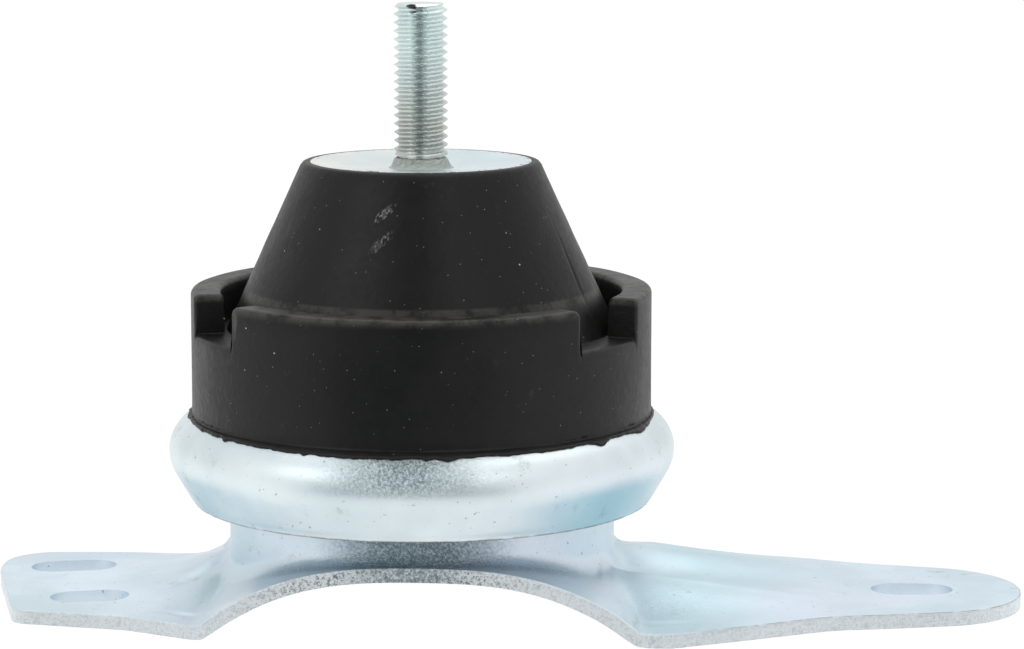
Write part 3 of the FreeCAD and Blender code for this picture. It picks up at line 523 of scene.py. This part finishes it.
# under side, from the chamber's roof to the ring's tube
add_rows(column(7.0, 13.0, 15.0, 26.0, 37.6, 38.0, 38.0), column(56.0, 56.0, 55.3, 46.5, 37.4, 36.9, 35.5))
add_rows(column(43.0, 48.3, 48.3), column(35.5, 35.5, 37.25))
inner_shoulder = arc((shoulder_centre, ring_belly), shoulder_inside, 57.7, 97.9, 7)
add_rows(inner_shoulder[:, :1], inner_shoulder[:, 1:])
add_rows(column(tube_inner, tube_inner, tube_outer, tube_outer), column(44.0, tube_top, tube_top, 44.0))
# flash: down the ring's shoulder to its ragged edge and back over its top
share = np.linspace(0.0, 1.0, 7)[:, None]
turn_down = root_turn + (edge_turn - root_turn) * share
flash_radius = shoulder_round + 0.01
add_rows(shoulder_centre + flash_radius * np.cos(turn_down), ring_belly + flash_radius * np.sin(turn_down))
for lift, back in ((0.45, -0.012), (0.85, 0.004), (1.0, 0.03)):
    flash_radius = shoulder_round + flash_thick * lift
    lip_turn = edge_turn + back
    add_rows(shoulder_centre + flash_radius * np.cos(lip_turn), ring_belly + flash_radius * np.sin(lip_turn))
# behind the lip the flash sinks to a crease at the foot of the wall
wall_turn = math.acos((collar_radius + 0.05 - shoulder_centre) / (shoulder_round + 0.25))
share = np.linspace(0.15, 1.0, 5)[:, None]
turn_back = edge_turn + 0.03 + (wall_turn - edge_turn - 0.03) * share
flash_radius = shoulder_round + flash_thick + (0.22 - flash_thick) * share ** 1.5 * loose
add_rows(shoulder_centre + flash_radius * np.cos(turn_back), ring_belly + flash_radius * np.sin(turn_back))
# collar: outer wall, rounded top, inner wall
wall_foot, notch_level, segment_level = ring_belly + 7.75, 55.6, 56.9
crack = ripple(rubber_angle, (7, 17, 38, 71, 113), 24) * loose
crack_depth = np.clip(0.5 * loose + 2.5 * crack, 0.0, 1.5)
add_rows(collar_radius + column(-0.12, 0.02, 0.03, 0.0) * crack_depth,
         wall_foot + column(0.15, 0.5, 1.0, 1.8) + 0.25 * crack)
add_rows(collar_radius + wave * column(0.6, 1.0, 1.0, 0.7), column(44.0, 48.0, 52.0, notch_level))
top_round = 1.1
share = np.linspace(0.0, 1.0, 5)[:, None]
segment_wall = segment_level + (top - top_round - segment_level) * share
notch_wall = notch_level + (top - top_round - notch_level) * (0.2 + 0.8 * share)
wall_height = np.where(top > trough_floor + 3.0, segment_wall, notch_wall)
wall_in = end_round * (wall_height > trough_floor + 0.02)
add_rows(collar_radius - wall_in + 0.3 * wave, wall_height)
turn = np.radians(np.linspace(12.0, 90.0, 6))[:, None]
add_rows(collar_radius - end_round - top_round * (1 - np.cos(turn)), top - top_round * (1 - np.sin(turn)))
inner_round = np.minimum(1.1, (top - trough_floor) / 2)
add_rows(column(45.9, 44.6), top)
turn = np.radians(np.linspace(90.0, 180.0, 6))[:, None]
add_rows(collar_inner + inner_round * (1 + np.cos(turn)), top - inner_round * (1 - np.sin(turn)))
share = np.linspace(0.2, 1.0, 4)[:, None]
add_rows(collar_inner + 0 * top, top - inner_round + (trough_floor + 0.02 - top + inner_round) * share)
# trough and cone
cone_height = np.concatenate([[trough_floor, 58.1], np.linspace(58.6, 92.0, 26)])[:, None]
cone_radius = 41.2 - (cone_height - 57.0) / 35.3 * 16.1
parting_line = 0.22 * np.exp(-((np.degrees(rubber_angle) - 339.5) / 0.8) ** 2)
parting_line = parting_line * np.exp(-((cone_height - 70.0) / 8.0) ** 2)
cone_wave = 0.10 * ripple(rubber_angle + cone_height * 0.02, (2, 3, 5), 41)
cone_wave = cone_wave + 0.05 * ripple(rubber_angle - cone_height * 0.05, (7, 11, 17), 42)
fade = np.clip((92.0 - cone_height) / 6.0, 0.0, 1.0) * np.clip((cone_height - 57.0) / 4.0, 0.0, 1.0)
add_rows(cone_radius + cone_wave * fade - parting_line, cone_height)
add_rows(column(24.95, 24.7, 24.35, 23.6, 23.2), column(92.35, 92.65, 92.82, 92.88, 92.88))
# bond to the core
add_rows(column(core_radius, core_radius, nose_wide, nose_narrow, 11.8, shank_radius),
         column(91.0, disc_underside, disc_underside, nose_bend, nose_end, nose_end))
rubber_grid = turned(np.vstack(rubber_radius), np.vstack(rubber_height), rubber_angle)
rubber_mesh = closed_mesh("rubber_visual", rubber_grid, (0, 0, 56.0), (0, 0, nose_end))
add_piece("rubber_visual", rubber_mesh, "rubber_body", moulded_rubber("body_rubber"))

# Ring: rolled and pressed steel tube with a bulged shoulder, zinc plated. Its tube is bonded in
# the collar and its skirt is crimped inward under the stack, with a sheared rim.
rim_radius, rim_height = 48.2, 21.6
ring_path = profile_path(
    (rim_radius - 0.35, rim_height), (rim_radius, rim_height + 0.2), (rim_radius + 0.06, rim_height + 0.5),
    np.stack([np.linspace(48.9, 51.8, 6), np.linspace(22.8, 27.83, 6)], axis=-1),
    arc((shoulder_centre, ring_belly), shoulder_round, -30, 79.9, 36),
    (tube_outer, 44.0), (tube_outer, tube_top - 0.2), (tube_outer - 0.3, tube_top),
    (tube_inner + 0.3, tube_top), (tube_inner, tube_top - 0.2), (tube_inner, 42.0),
    arc((shoulder_centre, ring_belly), shoulder_inside, 97.9, -30, 20),
    (46.3, rim_height + 0.4), (46.0, rim_height + 0.05), (46.3, rim_height))
ring_columns = 360
ring_angle = np.linspace(0.0, 2 * math.pi, ring_columns + 1)[:-1][None, :]
outer_share = np.exp(-((ring_path[:, :1] - 51.0) / 3.0) ** 2)
ring_dent = 0.07 * ripple(ring_angle + ring_path[:, 1:] * 0.03, (2, 5, 9, 14), 51) * outer_share
rim_share = np.exp(-((ring_path[:, 1:] - rim_height) / 0.35) ** 2)
rim_burr = 0.10 * ripple(ring_angle, (31, 57, 88, 121), 52) * rim_share
ring_grid = turned(ring_path[:, :1] - np.abs(ring_dent) + rim_burr, ring_path[:, 1:] + 0 * ring_angle, ring_angle)
ring_mesh = closed_mesh("ring_visual", ring_grid)


def mark_rows(mesh, name, row_values, columns):
    """Store one value for each row of the grid as a named attribute of the mesh."""
    attribute = mesh.attributes.new(name, "FLOAT", "POINT")
    values = np.asarray(row_values, dtype=np.float32).reshape(len(row_values), -1)
    values = np.broadcast_to(values, (len(row_values), columns))
    attribute.data.foreach_set("value", np.ascontiguousarray(values).ravel())


mark_rows(ring_mesh, "edge", np.zeros(len(ring_path)), ring_columns)
# painted shade: the rim's two lowest rows take the brown lip line, standing in for the shade on the rim's small
# downward face
mark_rows(ring_mesh, "lip", np.isin(np.arange(len(ring_path)), (0, 1)), ring_columns)
ring_degrees = np.degrees(ring_angle)
# painted reflection: the front of the ring's shoulder is painted dark, with coarse grain, for the black collar and
# the dark room it reflects
ring_front_shade = np.exp(-((ring_degrees - 271.0) / 13.0) ** 2) * np.clip((ring_path[:, 1:] - 31.0) / 3.0, 0.0, 1.0)
mark_rows(ring_mesh, "grain_and_painted_shade", ring_front_shade * 0.95, ring_columns)
low_side = np.exp(-((ring_degrees - 322.0) / 15.0) ** 2) + 0.45 * np.exp(-((ring_degrees - 212.0) / 11.0) ** 2)
mark_rows(ring_mesh, "teal", low_side * np.clip((31.5 - ring_path[:, 1:]) / 4.0, 0.0, 0.6), ring_columns)
add_piece("ring_visual", ring_mesh, "clamp_ring",
          zinc_plate("ring_zinc", 0.40, 1.0, edge=True, tone=(1.04, 1.05, 1.035)))

# Bracket: one pressing of 3 mm steel sheet, zinc plated after trimming. Its boss is drawn up out
# of an arch, four ridges run from the boss to the ears, and the sheared edge is left rough.
sheet_gauge, neck_radius, neck_bend, boss_top, crown_bend, hole_radius = 3.0, 40.6, 3.0, 24.5, 4.0, 30.0
inner_neck, inner_bend = 37.6, 7.05
# corners of the trimmed sheet, anticlockwise from the front left: x, y and rounding
sheet_corners = [(-40.7, -44.5, 2.0), (53.9, -44.5, 5.0), (88.0, -27.0, 40.0), (126.2, -17.5, 21.0),
                 (126.2, 17.5, 21.0), (71.0, 28.8, 18.0), (47.75, 43.5, 3.0), (-43.85, 43.5, 3.0),
                 (-50.85, 23.8, 3.0), (-65.85, 25.2, 60.0), (-92.1, 23.8, 11.0), (-92.6, 7.4, 40.0),
                 (-82.0, -31.4, 5.0), (-57.7, -36.0, 20.0)]


def rounded_loop(corners, spacing):
    """Even points along a closed outline whose corners are rounded by arcs."""
    runs = []
    for index, (x, y, radius) in enumerate(corners):
        here = np.array([x, y])
        arriving = np.array(corners[index - 1][:2]) - here
        leaving = np.array(corners[(index + 1) % len(corners)][:2]) - here
        arriving, leaving = arriving / np.linalg.norm(arriving), leaving / np.linalg.norm(leaving)
        half = math.acos(np.clip(arriving @ leaving, -1.0, 1.0)) / 2
        bisector = (arriving + leaving) / np.linalg.norm(arriving + leaving)
        centre = here + bisector * radius / math.sin(half)
        start = here + arriving * radius / math.tan(half) - centre
        end = here + leaving * radius / math.tan(half) - centre
        share = np.linspace(0.0, 1.0, 25)[:, None]
        sweep = math.pi - 2 * half
        runs.append(centre + (np.sin((1 - share) * sweep) * start + np.sin(share * sweep) * end) / math.sin(sweep))
    path = np.vstack(runs + [runs[0][:1]])
    length = np.concatenate([[0.0], np.cumsum(np.linalg.norm(np.diff(path, axis=0), axis=1))])
    places = np.linspace(0.0, length[-1], int(length[-1] / spacing) + 1)[:-1]
    return np.stack([np.interp(places, length, path[:, 0]), np.interp(places, length, path[:, 1])], axis=-1)


def arch_and_ridges(x, y):
    """Height of the underside: arch 12.7 (1 - (|x - middle| / 43.8)^2.9), and ridges
    height (1 - along) exp(-(aside / width)^2), joined by the cube root of the sum of their cubes."""
    middle = 1.15 - y * math.tan(math.radians(2.5)) - 0.08 * np.maximum(y, 0.0)
    arch_part = 12.7 * (1.0 - np.minimum(np.abs(x - middle) / 43.8, 1.0) ** 2.9)
    ridges = 0.0
    for side, left_height, left_width in ((-1, 4.6, 11.5), (1, 5.6, 9.8)):
        for start, end, height, width in (((38.6, side * 13.5), (92.0, side * 15.0), 6.5, 11.0),
                                          ((-38.6, side * 6.75), (-53.35, side * 22.5), left_height, left_width)):
            run = math.hypot(end[0] - start[0], end[1] - start[1])
            along_x, along_y = (end[0] - start[0]) / run, (end[1] - start[1]) / run
            along = ((x - start[0]) * along_x + (y - start[1]) * along_y) / run
            aside = (x - start[0]) * along_y - (y - start[1]) * along_x
            fade = np.clip(np.minimum(1.0 - along, 1.0 + 2.0 * along), 0.0, 1.0)
            ridges = ridges + height * fade * np.exp(-(aside / width) ** 2)
    return np.cbrt(arch_part ** 3 + ridges ** 3)


def underside(x, y):
    """The pressing softens the form: a weighted mean over neighbours, close ones at the ends of the arch."""
    near_end = np.exp(-((np.abs(x - 1.15) - 43.8) / 7.5) ** 4)
    step_x = 6.0 - 3.8 * near_end
    step_y = 4.2
    total = 0.0
    for shift_x, weight_x in ((-1, 1 / 6), (0, 4 / 6), (1, 1 / 6)):
        for shift_y, weight_y in ((-1, 1 / 6), (0, 4 / 6), (1, 1 / 6)):
            total = total + weight_x * weight_y * arch_and_ridges(x + shift_x * step_x, y + shift_y * step_y)
    return np.maximum(total, 0.0)


def upper_side(x, y):
    """The underside raised by the gauge at right angles to the sheet, creased by the arch's front corners."""
    step = 0.25
    slope_x = (underside(x + step, y) - underside(x - step, y)) / (2 * step)
    slope_y = (underside(x, y + step) - underside(x, y - step)) / (2 * step)
    height = underside(x, y) + sheet_gauge * np.sqrt(1.0 + slope_x ** 2 + slope_y ** 2)
    for centre_x, centre_y, turn, reach, depth in ((-45.5, -33.5, -0.35, 4.5, 0.6), (53.0, -35.5, 0.10, 5.0, 0.3)):
        along = (x - centre_x) * math.cos(turn) + (y - centre_y) * math.sin(turn)
        aside = (y - centre_y) * math.cos(turn) - (x - centre_x) * math.sin(turn)
        height = height - depth * np.exp(-(along / reach) ** 2 - (aside / 1.3) ** 2)
    # behind the crest of each front ridge the sheet falls away in a sharper fold
    for start, end, crest in (((38.6, -13.5), (92.0, -15.0), 0.8), ((-36.0, -4.0), (-53.35, -22.5), 0.2)):
        run = math.hypot(end[0] - start[0], end[1] - start[1])
        along_x, along_y = (end[0] - start[0]) / run, (end[1] - start[1]) / run
        along = ((x - start[0]) * along_x + (y - start[1]) * along_y) / run
        behind = ((y - start[1]) * along_x - (x - start[0]) * along_y) * (1.0 if along_x > 0 else -1.0)
        fade = np.clip(np.minimum(1.0 - along, 0.6), 0.0, 1.0) * np.clip(along * 6.0, 0.0, 1.0)
        height = height - 2.4 * fade * np.exp(-((behind - 5.5) / 3.2) ** 2)
        height = height + crest * fade * np.exp(-((behind - 0.5) / 2.0) ** 2)
    return np.maximum(height, underside(x, y) + 2.0)


def bend_rise(radius, wall, bend):
    """How far a round bend lifts the sheet beside an upright wall."""
    inside = np.clip(wall + bend - radius, 0.0, bend)
    return bend - np.sqrt(bend ** 2 - inside ** 2)


rim = rounded_loop(sheet_corners, 0.85)
forward = np.roll(rim, -1, axis=0) - np.roll(rim, 1, axis=0)
outward = np.stack([forward[:, 1], -forward[:, 0]], axis=-1) / np.linalg.norm(forward, axis=1)[:, None]
rim_turn = np.arctan2(rim[:, 1], rim[:, 0])
ray = np.stack([np.cos(rim_turn), np.sin(rim_turn)], axis=-1)
rough_dice = np.random.default_rng(77)
roll_over, burr = 0.32, 0.12
sheet_rows = []
edge_share = []
lip_share = []


def add_flat_rows(places, heights, edge=0.0, lip=0.0):
    """Append rows of (x, y) places with their heights, and their share in the sheared edge and its lip."""
    places = np.broadcast_to(places, (len(heights), len(rim), 2))
    heights = np.broadcast_to(heights, places.shape[:2])
    sheet_rows.append(np.concatenate([places, heights[..., None]], axis=-1))
    edge_share.extend([edge] * len(heights))
    lip_share.extend([lip] * len(heights))


def round_rows(path):
    """Rows of the boss, the same all round: (radius, height) pairs."""
    add_flat_rows(path[:, None, :1] * ray[None], path[:, 1:])


round_rows(profile_path((hole_radius, 21.7), (hole_radius, 24.2), (hole_radius + 0.3, boss_top), (33.0, boss_top),
                        arc((neck_radius - crown_bend, boss_top - crown_bend), crown_bend, 90, 0, 8)))
share = np.linspace(0.0, 1.0, 58)[:, None, None] ** 1.75
skin_end = rim - outward * roll_over
skin = neck_radius * ray + (skin_end - neck_radius * ray) * share
skin_radius = np.linalg.norm(skin, axis=-1)
# the bend all but vanishes where the long ear's back ridge runs into the neck
bend_share = 1.0 - 0.75 * np.exp(-((np.degrees(np.arctan2(skin[..., 1], skin[..., 0])) - 15.0) / 18.0) ** 2)
skin_height = upper_side(skin[..., 0], skin[..., 1]) + bend_share * bend_rise(skin_radius, neck_radius, neck_bend)
add_flat_rows(skin, np.minimum(skin_height, boss_top - crown_bend - 0.05))
top_height = skin_height[-1]
for turn, lip in ((30.0, 1.0), (60.0, 0.4), (85.0, 0.0)):
    turn = math.radians(turn)
    lip_places = rim - outward * roll_over * (1 - math.sin(turn))
    add_flat_rows(lip_places[None], top_height[None] - roll_over * (1 - math.cos(turn)), edge=0.5, lip=lip)
foot_height = underside(rim[:, 0], rim[:, 1]) + bend_rise(np.hypot(*rim.T), inner_neck, inner_bend)
foot_height = np.maximum(foot_height, 0.0)
for level in np.linspace(0.9, 0.0, 6):
    rough = rough_dice.normal(0.0, 0.035, len(rim)) + 0.05 * np.sin(np.arange(len(rim)) * 0.13 + level * 4)
    heights = foot_height + burr + (top_height - roll_over - foot_height - burr) * level
    add_flat_rows((rim - outward * (0.05 + np.abs(rough))[:, None])[None], heights[None], edge=1.0)
add_flat_rows((rim - outward * burr)[None], foot_height[None], edge=0.6)
share = np.linspace(1.0, 0.0, 40)[1:, None, None] ** 1.6
inner_end = rim - outward * 0.6
under = inner_neck * ray + (inner_end - inner_neck * ray) * share
under_radius = np.linalg.norm(under, axis=-1)
under_height = underside(under[..., 0], under[..., 1]) + bend_rise(under_radius, inner_neck, inner_bend)
add_flat_rows(under, np.minimum(under_height, 20.3))
round_rows(profile_path(arc((36.6, 20.5), 1.0, 10, 90, 4), (hole_radius + 0.3, 21.5)))
sheet_grid = np.concatenate(sheet_rows) * MM
sheet_mesh = closed_mesh("bracket_sheet", sheet_grid)
on_long_ear = np.clip((rim[:, 0] - 56.0) / 12.0, 0.0, 1.0)
mark_rows(sheet_mesh, "edge", edge_share, len(rim))
mark_rows(sheet_mesh, "lip", np.array(lip_share)[:, None] * on_long_ear, len(rim))
place_x, place_y, place_z = np.moveaxis(sheet_grid / MM, -1, 0)
from_axis = np.hypot(place_x, place_y)
# painted shade: the sheet is painted dark at the front and back of the neck and in a low band along the arch, for
# the ring's dark underside it reflects; its grain there is coarser
neck_bend_shade = np.exp(-(np.maximum(from_axis - 42.5, 0.0) / 3.4) ** 2)
neck_bend_shade = neck_bend_shade * np.clip((np.abs(place_y) - 22.0) / 14.0, 0.0, 1.0)
grain_and_shade_share = neck_bend_shade * np.clip((22.0 - np.abs(place_x - 2.5)) / 16.0, 0.0, 1.0) * (place_z > 10.0)
arch_band_shade = np.exp(-((from_axis - 43.7) / 2.2) ** 2) * np.clip((36.0 - np.abs(place_x - 2.5)) / 18.0, 0.0, 0.40)
grain_and_shade_share = np.maximum(grain_and_shade_share, arch_band_shade * (place_y < -20.0) * (place_z > 7.0))
# painted shadow in the hollow at the foot of the right front ridge
grain_and_shade_share = grain_and_shade_share + 0.20 * np.exp(-((place_x - 54.0) / 9.0) ** 2 - ((place_y + 27.0) / 9.0) ** 2)
mark_rows(sheet_mesh, "grain_and_painted_shade", grain_and_shade_share, len(rim))
teal_share = 0.30 * np.exp(-((place_x - 57.0) / 15.0) ** 2) + 0.10 * np.clip((place_x - 45.0) / 20.0, 0.0, 1.0)
mark_rows(sheet_mesh, "teal", teal_share * (place_z > 1.0), len(rim))


def slot_cutter(name, x, y, turn, length):
    """Upright bar with round ends, 10.5 mm wide, that punches one slot."""
    half_width, columns = 5.25, 96
    around = np.radians(np.linspace(0.0, 360.0, columns + 1)[:-1])
    bar_x = half_width * np.cos(around) + np.sign(np.cos(around)) * (length / 2 - half_width)
    bar_y = half_width * np.sin(around)
    turn = math.radians(turn)
    plan = np.stack([x + bar_x * math.cos(turn) - bar_y * math.sin(turn),
                     y + bar_x * math.sin(turn) + bar_y * math.cos(turn)], axis=-1)
    levels = (-2.0, 1.5, 7.0)
    rows = np.stack([np.concatenate([plan, np.full((columns, 1), level)], axis=-1) for level in levels])
    mesh = closed_mesh(name, rows * MM, (x, y, levels[0]), (x, y, levels[-1]))
    for attribute_name, share_value in (("edge", 0.8), ("lip", 0.0), ("grain_and_painted_shade", 0.0), ("teal", 0.0)):
        mark_rows(mesh, attribute_name, [share_value], len(mesh.vertices))
    cutter = bpy.data.objects.new(name, mesh)
    bpy.context.collection.objects.link(cutter)
    return cutter


def punched(name, mesh, cutters):
    """The mesh with each cutter taken out of it, as a new mesh; the cutters are removed."""
    blank = bpy.data.objects.new(name, mesh)
    bpy.context.collection.objects.link(blank)
    for cutter in cutters:
        modifier = blank.modifiers.new(cutter.name, "BOOLEAN")
        modifier.operation = "DIFFERENCE"
        modifier.solver = "EXACT"
        modifier.object = cutter
    bpy.context.view_layer.update()
    result = bpy.data.meshes.new_from_object(blank.evaluated_get(bpy.context.evaluated_depsgraph_get()))
    for scrap in [blank] + cutters:
        bpy.data.objects.remove(scrap)
    result.polygons.foreach_set("use_smooth", np.ones(len(result.polygons), dtype=bool))
    result.set_sharp_from_angle(angle=math.radians(38.0))
    return result


cutters = [slot_cutter("slot_back_left", -76.7, 10.2, 14.0, 18.3),
           slot_cutter("slot_front_left", -68.1, -18.6, 14.0, 16.4),
           slot_cutter("slot_right", 103.4, -0.6, 2.0, 17.2)]
sheet_mesh = punched("bracket_blank", sheet_mesh, cutters)
add_piece("bracket_visual", sheet_mesh, "mount_bracket",
          zinc_plate("bracket_zinc", 0.42, 1.0, edge=True, tone=(0.96, 0.995, 1.04)))

# Cup: drawn steel, zinc plated. The ring's skirt holds its flange on the boss, and it closes the
# mount from below, the only side it is seen from. It keeps its solid's form.
cup_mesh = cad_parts["lower_cup"].data
cup_mesh.materials.clear()
cup_mesh.materials.append(zinc_plate("cup_zinc", 0.40, 1.0))

# Pieces inside the ring, which no view shows: two die-cast aluminium plates with the fluid track
# between them, the moulded rubber disc loose between their grids, and the rubber diaphragm whose rim
# is clamped under them. They keep their solids' forms.
for node_name, dark in (("channel_plate_upper", False), ("channel_plate_lower", False),
                        ("decoupler", True), ("diaphragm", True)):
    node_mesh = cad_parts[node_name].data
    node_mesh.materials.clear()
    material = bpy.data.materials.new("inside_" + node_name)
    finish = Finish(material)
    place = finish.place()
    cloud = finish.noise(place, 120.0, 3.0, 0.6)
    low, high = ((0.018, 0.018, 0.018), (0.03, 0.03, 0.03)) if dark else ((0.52, 0.53, 0.54), (0.64, 0.65, 0.66))
    skin = finish.node("ShaderNodeBsdfPrincipled", None,
                       {"Base Color": finish.mix(cloud, low, high), "Metallic": 0.0 if dark else 1.0,
                        "Roughness": 0.4 + cloud * 0.2})
    finish.node("ShaderNodeOutputMaterial", None, {"Surface": skin})
    node_mesh.materials.append(material)
